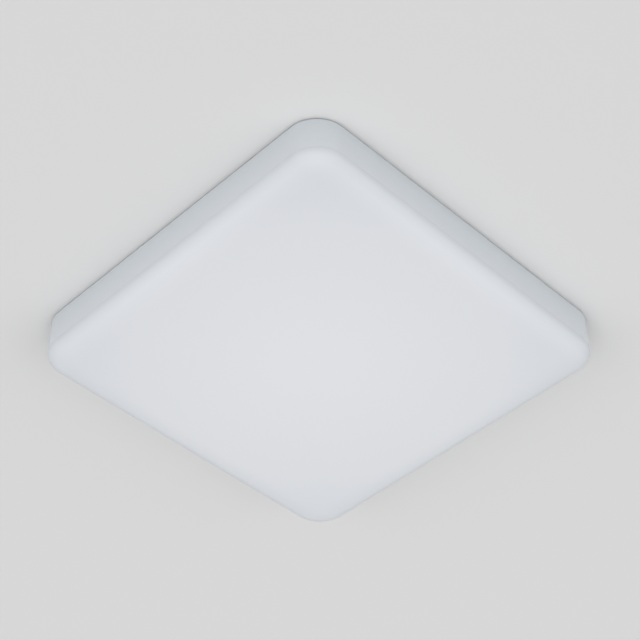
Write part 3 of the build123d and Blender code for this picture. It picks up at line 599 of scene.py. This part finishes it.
housing = Finish("spark-eroded housing plastic", roughness=0.55)
housing_cloud = housing.noise(18.0, 3.0)
housing.colour(housing.blend(housing_cloud, (0.700, 0.698, 0.680, 1.0), (0.745, 0.742, 0.728, 1.0)))
housing.roughness(0.50 + 0.14 * housing.noise(420.0, 2.0))
housing.relief(housing.noise(2600.0, 3.0), 0.00002)

same_place = 2e-6
flat_bend = radians(0.4)
edge_bend = radians(40)
bevel_steps = 2


def eased(node, finish, width):
    """A moulded or stamped piece with soft edges, in the place of its sharp solid."""
    solid = frame["nodes"][node]
    form = bmesh.new()
    form.from_mesh(solid.data)
    bmesh.ops.remove_doubles(form, verts=form.verts, dist=same_place)
    bmesh.ops.dissolve_limit(form, angle_limit=flat_bend, verts=form.verts, edges=form.edges)
    sharp = bpy.data.meshes.new(node + "_body")
    form.to_mesh(sharp)
    form.free()
    sharp.materials.append(finish.material)
    sharp.polygons.foreach_set("use_smooth", [True] * len(sharp.polygons))
    sharp.polygons.foreach_set("material_index", [0] * len(sharp.polygons))
    piece = bpy.data.objects.new(node + "_body", sharp)
    bpy.context.scene.collection.objects.link(piece)
    edges = piece.modifiers.new("edges", "BEVEL")
    edges.width = width
    edges.segments = bevel_steps
    edges.limit_method = "ANGLE"
    edges.angle_limit = edge_bend
    normals = piece.modifiers.new("normals", "WEIGHTED_NORMAL")
    normals.keep_sharp = True
    shaped = piece.evaluated_get(bpy.context.evaluated_depsgraph_get())
    mesh = bpy.data.meshes.new_from_object(shaped)
    piece.modifiers.clear()
    piece.data = mesh
    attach(piece, solid["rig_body"])
    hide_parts(node)


def dress(node, finish):
    """A CAD node whose shape is right takes a finish."""
    mesh = frame["nodes"][node].data
    mesh.materials.clear()
    mesh.materials.append(finish.material)


eased("back_pan", housing, width=0.00022)

# Light source. An aluminium spreader carries the LED board, whose face is white solder mask
# over copper tracks. A matt film with a window for each LED lies on the board.

chip_pitch = 0.024
phosphor_half_length = (0.0011, 0.0013)
phosphor_half_width = (0.0008, 0.0010)
track_offset = 0.0035
track_half_width = (0.0018, 0.0022)

mill_aluminium = Finish("rolled aluminium", roughness=0.4, metallic=1.0)
rolled = mill_aluminium.noise(1.0, 3.0, mill_aluminium.drawn_out(6.0, 1400.0, 1400.0))
mill_aluminium.colour(
    mill_aluminium.blend(rolled, (0.68, 0.69, 0.70, 1.0), (0.82, 0.83, 0.84, 1.0)),
)
mill_aluminium.roughness(0.28 + 0.24 * rolled)
mill_aluminium.relief(rolled, 0.000008)
dress("heat_spreader", mill_aluminium)


def row_distance(finish, index):
    """How far a place lies from the nearest row of LEDs along one axis."""
    return chip_pitch / 2 - finish.maths("PINGPONG", finish.axis(index), chip_pitch / 2)


solder_mask = Finish("white solder mask over tracks", roughness=0.38)
from_row = row_distance(solder_mask, 1)
from_track = solder_mask.maths("ABSOLUTE", from_row - track_offset)
track = 1.0 - solder_mask.clamp(from_track, *track_half_width)
solder_mask.colour(solder_mask.blend(track, (0.86, 0.86, 0.84, 1.0), (0.80, 0.79, 0.75, 1.0)))
solder_mask.relief(track + 0.2 * solder_mask.noise(900.0), 0.00003)
dress("led_board", solder_mask)

phosphor = Finish("LED phosphor in a white package", roughness=0.3, coat=0.3)
beside = phosphor.clamp(row_distance(phosphor, 0), *phosphor_half_length)
before = phosphor.clamp(row_distance(phosphor, 1), *phosphor_half_width)
package = phosphor.maths("MAXIMUM", beside, before)
phosphor.colour(phosphor.blend(package, (0.88, 0.62, 0.10, 1.0), (0.87, 0.87, 0.85, 1.0)))
phosphor.roughness(0.24 + 0.2 * package + 0.08 * phosphor.noise(1500.0))
dress("led_chips", phosphor)

film_sheet = Finish("matt reflector film", roughness=0.85)
film_wave = film_sheet.noise(30.0, 3.0)
film_sheet.colour(film_sheet.blend(film_wave, (0.86, 0.86, 0.86, 1.0), (0.92, 0.92, 0.92, 1.0)))
film_sheet.relief(film_wave + 0.1 * film_sheet.noise(3000.0), 0.0001)
dress("reflector_sheet", film_sheet)

nylon = Finish("ivory nylon", roughness=0.45)
nylon_cloud = nylon.noise(200.0, 3.0)
nylon.colour(nylon.blend(nylon_cloud, (0.74, 0.70, 0.58, 1.0), (0.80, 0.77, 0.66, 1.0)))
nylon.roughness(0.38 + 0.16 * nylon_cloud)
nylon.relief(nylon.noise(2200.0), 0.00002)
for node in ("board_connector", "input_connector", "output_connector"):
    dress(node, nylon)

# Screws. Zinc-plated steel pan heads with a cross recess. They hold the board to the pan,
# the case to the pan, the driver board and clamp bar in the case, and the lid on it.

zinc = Finish("zinc-plated steel", roughness=0.3, metallic=1.0)
plating = zinc.noise(700.0, 4.0)
zinc.colour(zinc.blend(plating, (0.60, 0.61, 0.62, 1.0), (0.78, 0.78, 0.76, 1.0)))
zinc.roughness(0.22 + 0.26 * plating)
zinc.relief(zinc.noise(5000.0), 0.000006)


def pan_screw(shape):
    """One turned screw with its recess, set down at the corners of a rectangle."""
    size = shape.size
    dome_steps = 6
    radius = size["head_radius"]
    side = size["side_share"] * size["head_height"]
    crown = size["head_height"] - side
    shoulder = radius * 0.5
    collar = size["shank_radius"] - radius
    path = shape.node(
        "GeometryNodeCurvePrimitiveCircle", {"mode": "RADIUS"},
        {"Resolution": size["steps"], "Radius": radius},
    )
    runs = [
        shape.line(shape.point(-radius, size["length"]), shape.point(collar, size["length"])),
        shape.line(shape.point(collar, size["length"]), shape.point(collar, 0.0)),
        shape.line(shape.point(collar, 0.0), shape.point(0.0, 0.0)),
        shape.line(shape.point(0.0, 0.0), shape.point(0.0, -side)),
        shape.quarter(
            shape.point(-shoulder, -side), shape.point(shoulder, -crown, 1.0), dome_steps,
        ),
        shape.line(
            shape.point(-shoulder, -size["head_height"]),
            shape.point(-radius, -size["head_height"]),
        ),
    ]
    turned = shape.welded(shape.sweep(path, shape.outline(*runs)), 1e-5)
    recess_length = radius * 1.15
    recess_width = radius * 0.26
    recess_depth = size["head_height"] * 0.6
    bar = shape.node(
        "GeometryNodeMeshCube", {},
        {"Size": shape.point(recess_length, recess_width, recess_depth * 2.0)},
    )
    top = shape.point(0.0, 0.0, size["head_height"])
    cross = [shape.moved(bar, top, turn=(0.0, 0.0, radians(turn))) for turn in (20.0, 110.0)]
    screw = shape.node(
        "GeometryNodeMeshBoolean", {"operation": "DIFFERENCE", "solver": "EXACT"},
        {"Mesh 1": turned, "Mesh 2": cross},
    )
    rectangle = shape.node(
        "GeometryNodeMeshGrid", {},
        {"Size X": size["spread_x"], "Size Y": size["spread_y"], "Vertices X": 2,
         "Vertices Y": size["rows"]},
    )
    placed = shape.node(
        "GeometryNodeInstanceOnPoints", {},
        {"Points": rectangle, "Instance": shape.smooth(screw, radians(32))},
    )
    return shape.moved(placed, shape.point(0.0, size["middle_y"], size["seat"]))


for node, sizes in {
    "case_screws": dict(
        head_radius=0.00275, head_height=0.002, shank_radius=0.0015, length=0.009,
        seat=0.002, spread_x=0.040, spread_y=0.088, rows=2, middle_y=0.0,
    ),
    "lid_screws": dict(
        head_radius=0.002, head_height=0.0015, shank_radius=0.001, length=0.012,
        seat=0.026, spread_x=0.057, spread_y=0.0405, rows=2, middle_y=0.01425,
    ),
    "driver_board_screws": dict(
        head_radius=0.002, head_height=0.0015, shank_radius=0.001, length=0.0058,
        seat=0.0076, spread_x=0.041, spread_y=0.028, rows=2, middle_y=0.0115,
    ),
    "clamp_screws": dict(
        head_radius=0.002, head_height=0.0015, shank_radius=0.001, length=0.01295,
        seat=0.01525, spread_x=0.017, spread_y=0.0, rows=1, middle_y=-0.0322,
    ),
}.items():
    screw_shape = Shape(node + "_heads", side_share=0.4, steps=28, **sizes)
    screws = screw_shape.make(pan_screw(screw_shape), zinc)
    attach(screws, "lamp")
    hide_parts(node)
for node in ("board_screws", "cover_hinge_pin", "clip_pin_right", "clip_pin_left"):
    dress(node, zinc)

# Wires. PVC-insulated leads with their ends pushed into the connectors. The mains pair is
# brown and blue and the LED pair red and black, one colour on each side of the middle.

between_leads = (-0.0001, 0.0001)

mains_pair = Finish("brown and blue insulation", roughness=0.4)
mains_side = mains_pair.clamp(mains_pair.axis(0), *between_leads)
mains_smear = mains_pair.noise(500.0)
mains_pair.colour(mains_pair.blend(mains_side, (0.02, 0.10, 0.42, 1.0), (0.20, 0.07, 0.03, 1.0)))
mains_pair.roughness(0.32 + 0.2 * mains_smear)
mains_pair.relief(mains_smear, 0.00002)

wire_shape = Shape(
    "mains_leads",
    near=-0.023, far=-0.003, height=0.0111, radius=0.0008, spacing=0.005, sides=20,
)


def lead_pair(shape):
    """Two straight insulated leads, side by side."""
    size = shape.size
    ring = shape.node(
        "GeometryNodeCurvePrimitiveCircle", {"mode": "RADIUS"},
        {"Resolution": size["sides"], "Radius": size["radius"]},
    )
    run = shape.line(
        shape.point(0.0, size["near"], size["height"]),
        shape.point(0.0, size["far"], size["height"]),
    )
    lead = shape.smooth(shape.sweep(run, ring, True), radians(40))
    half = size["spacing"] * 0.5
    pair = [shape.moved(lead, shape.point(place)) for place in (half, -half)]
    return shape.together(*pair)


mains_leads = wire_shape.make(lead_pair(wire_shape), mains_pair)
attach(mains_leads, "lamp")
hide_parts("input_wires")

board_pair = Finish("red and black insulation", roughness=0.4)
board_side = board_pair.clamp(board_pair.axis(0), *between_leads)
board_pair.colour(
    board_pair.blend(board_side, (0.015, 0.015, 0.015, 1.0), (0.50, 0.02, 0.02, 1.0)),
)
board_pair.roughness(0.32 + 0.2 * board_pair.noise(500.0))
dress("output_wires", board_pair)

# Driver case. A white box screwed to the pan, with a wall between the driver and the mains
# terminals, grip ribs at the ends of its sides and a round inlet for the supply cable.

for node in ("driver_case", "driver_lid", "terminal_cover"):
    eased(node, housing, width=0.00018)
eased("cable_clamp", housing, width=0.00025)

# Terminal block. Moulded in satin polyamide round the brass poles and laid on the case
# floor. Each pole has two plated brass screws that clamp the bare ends of the wires.

polyamide = Finish("satin polyamide", roughness=0.4)
polyamide_cloud = polyamide.noise(150.0, 3.0)
polyamide.colour(
    polyamide.blend(polyamide_cloud, (0.72, 0.72, 0.69, 1.0), (0.79, 0.79, 0.77, 1.0)),
)
polyamide.roughness(0.34 + 0.14 * polyamide_cloud)
polyamide.relief(polyamide.noise(2400.0), 0.000015)
eased("terminal_block", polyamide, width=0.00025)

plated_brass = Finish("plated brass", roughness=0.3, metallic=1.0)
tarnish = plated_brass.noise(900.0, 4.0)
plated_brass.colour(plated_brass.blend(tarnish, (0.72, 0.52, 0.24, 1.0), (0.86, 0.74, 0.46, 1.0)))
plated_brass.roughness(0.2 + 0.3 * tarnish)
dress("terminal_screws", plated_brass)

# Driver board. Green solder mask over copper, with a transformer, capacitors, a choke, a
# fuse in a sleeve and two black packages soldered to it.

green_board = Finish("green circuit board", roughness=0.35)
weave = green_board.noise(1800.0, 2.0)
copper_field = green_board.node(
    "ShaderNodeTexVoronoi", {"distance": "CHEBYCHEV", "feature": "F1"},
    {"Vector": green_board.place, "Scale": 260.0}, 0,
)
copper_edge = (0.30, 0.34)
copper = green_board.clamp(copper_field, *copper_edge)
green_board.colour(
    green_board.blend(copper, (0.015, 0.14, 0.045, 1.0), (0.010, 0.075, 0.030, 1.0)),
)
green_board.roughness(0.28 + 0.18 * weave)
green_board.relief(0.15 * weave - copper, 0.00003)
dress("driver_board", green_board)

ferrite = Finish("sintered ferrite", roughness=0.6)
speck = ferrite.noise(2600.0, 4.0)
ferrite.colour(ferrite.blend(speck, (0.012, 0.012, 0.014, 1.0), (0.055, 0.055, 0.06, 1.0)))
ferrite.roughness(0.45 + 0.3 * speck)
ferrite.relief(speck, 0.00005)
dress("transformer_core", ferrite)
dress("filter_choke", ferrite)

half_lap = 0.0011
lap_edge = (0.00006, 0.00016)
tape = Finish("yellow polyester tape", roughness=0.3)
lap = tape.maths("PINGPONG", tape.axis(2), half_lap)
lap_line = 1.0 - tape.clamp(lap, *lap_edge)
tape.colour(tape.blend(lap_line, (0.80, 0.56, 0.04, 1.0), (0.52, 0.34, 0.02, 1.0)))
tape.roughness(0.22 + 0.16 * tape.noise(300.0))
tape.relief(-lap_line + 0.2 * tape.noise(600.0), 0.00008)
dress("transformer_winding", tape)

between_cans = (0.01995, 0.02005)
sleeve_end = 0.0202
shorter_by = 0.002
stripe_edge = (-0.0098, -0.0096)
sleeve = Finish("capacitor sleeve and can", roughness=0.3)
second_can = sleeve.clamp(sleeve.axis(1), *between_cans)
past_sleeve = sleeve.axis(2) - sleeve_end + shorter_by * second_can
can_top = sleeve.clamp(past_sleeve, 0.0, 0.0001)
stripe = sleeve.clamp(sleeve.axis(0), *stripe_edge)
printed = sleeve.blend(stripe, (0.012, 0.016, 0.045, 1.0), (0.45, 0.47, 0.50, 1.0))
sleeve.colour(sleeve.blend(can_top, printed, (0.72, 0.73, 0.74, 1.0)))
sleeve.join(can_top, sleeve.shader.inputs["Metallic"])
sleeve.roughness(0.25 + 0.12 * sleeve.noise(700.0))
sleeve.relief(sleeve.noise(900.0), 0.00002)
dress("electrolytic_capacitors", sleeve)

epoxy = Finish("yellow epoxy dip", roughness=0.25, coat=0.4)
epoxy_flow = epoxy.noise(350.0, 3.0)
epoxy.colour(epoxy.blend(epoxy_flow, (0.56, 0.33, 0.03, 1.0), (0.68, 0.43, 0.05, 1.0)))
epoxy.roughness(0.18 + 0.16 * epoxy_flow)
epoxy.relief(epoxy_flow, 0.0001)
dress("film_capacitor", epoxy)

fuse_sleeve = Finish("green heat-shrink sleeve", roughness=0.5)
shrink = fuse_sleeve.noise(600.0, 3.0)
fuse_sleeve.colour(
    fuse_sleeve.blend(shrink, (0.025, 0.16, 0.06, 1.0), (0.045, 0.24, 0.10, 1.0)),
)
fuse_sleeve.roughness(0.42 + 0.2 * shrink)
fuse_sleeve.relief(shrink, 0.00008)
dress("fuse", fuse_sleeve)

black_package = Finish("black moulded package", roughness=0.6)
package_grain = black_package.noise(3000.0, 3.0)
black_package.colour(
    black_package.blend(package_grain, (0.008, 0.008, 0.009, 1.0), (0.03, 0.03, 0.032, 1.0)),
)
black_package.roughness(0.5 + 0.25 * package_grain)
black_package.relief(package_grain, 0.00003)
dress("board_chips", black_package)

# Clip carriages. Black glass-filled nylon slides that ride in the pan's channels and click
# along their racks. Each carries a steel pin between its two cheeks.

black_nylon = Finish("black glass-filled nylon", roughness=0.5)
fibre = black_nylon.noise(1.0, 3.0, black_nylon.drawn_out(500.0, 2600.0, 2600.0))
black_nylon.colour(
    black_nylon.blend(fibre, (0.018, 0.018, 0.020, 1.0), (0.045, 0.045, 0.048, 1.0)),
)
black_nylon.roughness(0.40 + 0.24 * fibre)
black_nylon.relief(fibre, 0.00004)
for side in ("right", "left"):
    eased("clip_carriage_" + side, black_nylon, width=0.00018)

# Clip arms. Stamped spring steel with rolled eyes on the pin and a soft pad over the tip
# that presses on the top of the ceiling board.

spring_steel = Finish("bright spring steel", roughness=0.3, metallic=1.0)
drawn = spring_steel.noise(1.0, 4.0, spring_steel.drawn_out(60.0, 2400.0, 60.0))
spring_steel.colour(spring_steel.blend(drawn, (0.46, 0.47, 0.48, 1.0), (0.74, 0.74, 0.75, 1.0)))
spring_steel.roughness(0.16 + 0.26 * drawn)
spring_steel.relief(drawn + 8.0 * spring_steel.noise(90.0, 1.0), 0.000008)

soft_rubber = Finish("soft black rubber", roughness=0.75)
bloom = soft_rubber.noise(300.0, 4.0)
soft_rubber.colour(
    soft_rubber.blend(bloom, (0.014, 0.014, 0.014, 1.0), (0.035, 0.034, 0.033, 1.0)),
)
soft_rubber.roughness(0.65 + 0.25 * bloom)
soft_rubber.relief(soft_rubber.noise(1800.0), 0.00004)
for side in ("right", "left"):
    eased("clip_arm_" + side, spring_steel, width=0.00018)
    eased("arm_pad_" + side, soft_rubber, width=0.0004)

# Torsion springs. Round spring wire wound over the pin. One leg stands on the carriage and
# the other lies along the arm, so lifting the arm twists the coil, which pushes it back.

pivot_place = 0.0685
pivot_height = 0.013
rest_angle = radians(14)
coil_length = 0.0072
coil_turns = 4
coil_start = pi
coil_sweep = pi / 2 + rest_angle + coil_turns * 2 * pi


def torsion_spring(shape):
    """The coil as one curve, with its two straight legs joined on."""
    size = shape.size
    share = shape.node("GeometryNodeSplineParameter", {}, {}, "Factor")
    angle = size["start"] - size["sweep"] * share
    coil = shape.node(
        "GeometryNodeResampleCurve", {},
        {"Curve": shape.line((0.0, 0.0, 0.0), (0.0, 1.0, 0.0)), "Count": size["coil_points"]},
    )
    on_coil = shape.point(
        size["radius"] * shape.maths("COSINE", angle),
        size["length"] * (share - 0.5),
        size["radius"] * shape.maths("SINE", angle),
    )
    coil = shape.node("GeometryNodeSetPosition", {}, {"Geometry": coil, "Position": on_coil})
    climb = size["length"] / size["sweep"] / size["radius"]
    first = shape.point(-size["radius"], size["length"] * -0.5, 0.0)
    foot = shape.point(
        -size["radius"], size["length"] * -0.5 - size["foot"] * climb, -size["foot"],
    )
    end = size["start"] - size["sweep"]
    end_x = size["radius"] * shape.maths("COSINE", end)
    end_z = size["radius"] * shape.maths("SINE", end)
    last = shape.point(end_x, size["length"] * 0.5, end_z)
    tip = shape.point(
        end_x + size["reach"] * shape.maths("SINE", end),
        size["length"] * 0.5 + size["reach"] * climb,
        end_z - size["reach"] * shape.maths("COSINE", end),
    )
    wire = shape.outline(shape.line(foot, first), coil, shape.line(last, tip))
    section = shape.node(
        "GeometryNodeCurvePrimitiveCircle", {"mode": "RADIUS"},
        {"Resolution": size["sides"], "Radius": size["wire"]},
    )
    wound = shape.smooth(shape.sweep(wire, section, True), radians(40))
    lifted = shape.moved(wound, shape.point(size["pivot"], 0.0, size["height"]))
    return shape.moved(lifted, (0.0, 0.0, 0.0), turn=shape.point(0.0, 0.0, size["facing"]))


for side, facing in (("right", 0.0), ("left", pi)):
    spring_shape = Shape(
        "torsion_spring_" + side,
        wire=0.0006, radius=0.0032, start=coil_start, sweep=coil_sweep, length=coil_length,
        foot=0.01136, reach=0.015, pivot=pivot_place, height=pivot_height, facing=facing,
        coil_points=150, sides=12,
    )
    spring = spring_shape.make(torsion_spring(spring_shape), spring_steel)
    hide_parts("clip_spring_" + side)
    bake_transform(spring)
